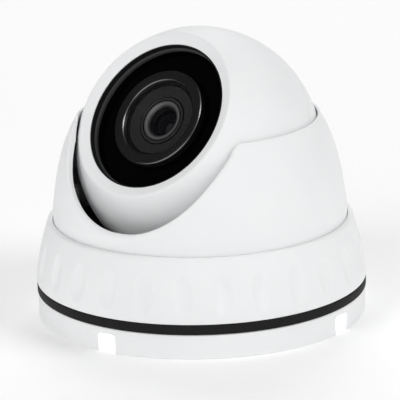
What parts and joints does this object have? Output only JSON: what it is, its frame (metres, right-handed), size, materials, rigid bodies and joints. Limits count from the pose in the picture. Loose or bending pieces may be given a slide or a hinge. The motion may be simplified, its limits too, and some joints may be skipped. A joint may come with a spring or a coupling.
{
  "type": "dome cctv camera",
  "caption": "Turret-style dome security camera: a ball-shaped camera eye held in a cut-away dome cover by a finger-grip locking ring on a round surface-mount base.",
  "frame": {"origin": "centre of the base's underside, the face that lies on the wall, ceiling or table", "axes": "+Z out of the mounting surface along the pan axis; the cut-out in the dome cover faces -Y"},
  "size_m": [0.094, 0.094, 0.0818],
  "materials": {
    "housing_white": "fine moulded grain, matte white",
    "seal_black": "soft black rubber",
    "trim_black": "matte black moulding",
    "window_black": "polished, looks black, passes infrared",
    "baffle_foam": "flocked black foam",
    "clear_glass": "clear, polished",
    "lens_glass": "coated optical glass",
    "filter_glass": "coated filter glass",
    "anodised_black": "black anodised, fine turned",
    "screw_steel": "machined",
    "spacer_brass": "machined",
    "circuit_board": "green solder mask",
    "chip_black": "moulded epoxy",
    "lamp_epoxy": "clear to milky epoxy",
    "coil_copper": "enamelled winding",
    "nylon_natural": "natural nylon"
  },
  "bodies": {
    "base": {"base_cup": "housing_white", "base_gasket": "seal_black", "cable_grommet": "seal_black", "pan_seal": "seal_black"},
    "ring_carrier": {"slip_washer": "nylon_natural"},
    "ring": {"locking_ring": "housing_white"},
    "dome": {"dome_cover": "housing_white", "ball_retainer": "trim_black", "friction_ring": "seal_black", "retainer_screw_1": "screw_steel", "retainer_screw_2": "screw_steel", "retainer_screw_3": "screw_steel"},
    "gland": {"rear_gland": "seal_black"},
    "eye": {"front_shell": "housing_white", "rear_shell": "housing_white", "shell_seal": "seal_black", "window_trim": "trim_black", "lens_collar": "trim_black", "lens_holder": "trim_black", "ircut_housing": "trim_black", "ir_window": "window_black", "lens_baffle": "baffle_foam", "cover_glass": "clear_glass", "shell_screw_1": "screw_steel", "shell_screw_2": "screw_steel", "shell_screw_3": "screw_steel", "stack_screw_1": "screw_steel", "stack_screw_2": "screw_steel", "stack_screw_3": "screw_steel", "stack_screw_4": "screw_steel", "front_spacer_1": "spacer_brass", "front_spacer_2": "spacer_brass", "front_spacer_3": "spacer_brass", "front_spacer_4": "spacer_brass", "rear_spacer_1": "spacer_brass", "rear_spacer_2": "spacer_brass", "rear_spacer_3": "spacer_brass", "rear_spacer_4": "spacer_brass", "ir_led_board": "circuit_board", "sensor_board": "circuit_board", "main_board": "circuit_board", "image_sensor": "chip_black", "processor": "chip_black", "ir_led_1": "lamp_epoxy", "ir_led_2": "lamp_epoxy", "ir_led_3": "lamp_epoxy", "ir_led_4": "lamp_epoxy", "ir_led_5": "lamp_epoxy", "ir_led_6": "lamp_epoxy", "photocell": "lamp_epoxy", "ircut_coil": "coil_copper", "cable_socket": "nylon_natural"},
    "filter": {"filter_slide": "trim_black", "ir_cut_filter": "filter_glass", "clear_filter": "clear_glass"},
    "lens": {"lens_barrel": "anodised_black", "front_element": "lens_glass", "rear_element": "lens_glass"}
  },
  "joints": [
    {"name": "ring_lift", "type": "slide", "parent": "base", "child": "ring_carrier", "axis": [0, 0, 1], "range_m": [0, 0.003]},
    {"name": "ring_turn", "type": "hinge", "parent": "ring_carrier", "child": "ring", "pos_m": [0, 0, 0.0195], "axis": [0, 0, 1], "range_deg": [0, 360]},
    {"name": "pan", "type": "hinge", "parent": "base", "child": "dome", "pos_m": [0, 0, 0.02], "axis": [0, 0, 1], "range_deg": [-177.5, 177.5]},
    {"name": "tilt", "type": "hinge", "parent": "dome", "child": "gland", "pos_m": [0, 0, 0.0471], "axis": [0.9925, -0.1219, 0], "range_deg": [-52.8, 25.2]},
    {"name": "roll", "type": "hinge", "parent": "gland", "child": "eye", "pos_m": [0, 0, 0.0471], "axis": [-0.0971, -0.7906, 0.6046], "range_deg": [-177.5, 177.5]},
    {"name": "filter_shift", "type": "slide", "parent": "eye", "child": "filter", "axis": [-0.9925, 0.1219, 0], "range_m": [0, 0.0062]},
    {"name": "lens_focus", "type": "hinge", "parent": "eye", "child": "lens", "pos_m": [0, 0, 0.0471], "axis": [-0.0971, -0.7906, 0.6046], "range_deg": [-90, 90]}
  ],
  "couplings": [
    {"joint": "ring_lift", "follows": "ring_turn", "m_per_rad": 0.000477}
  ]
}
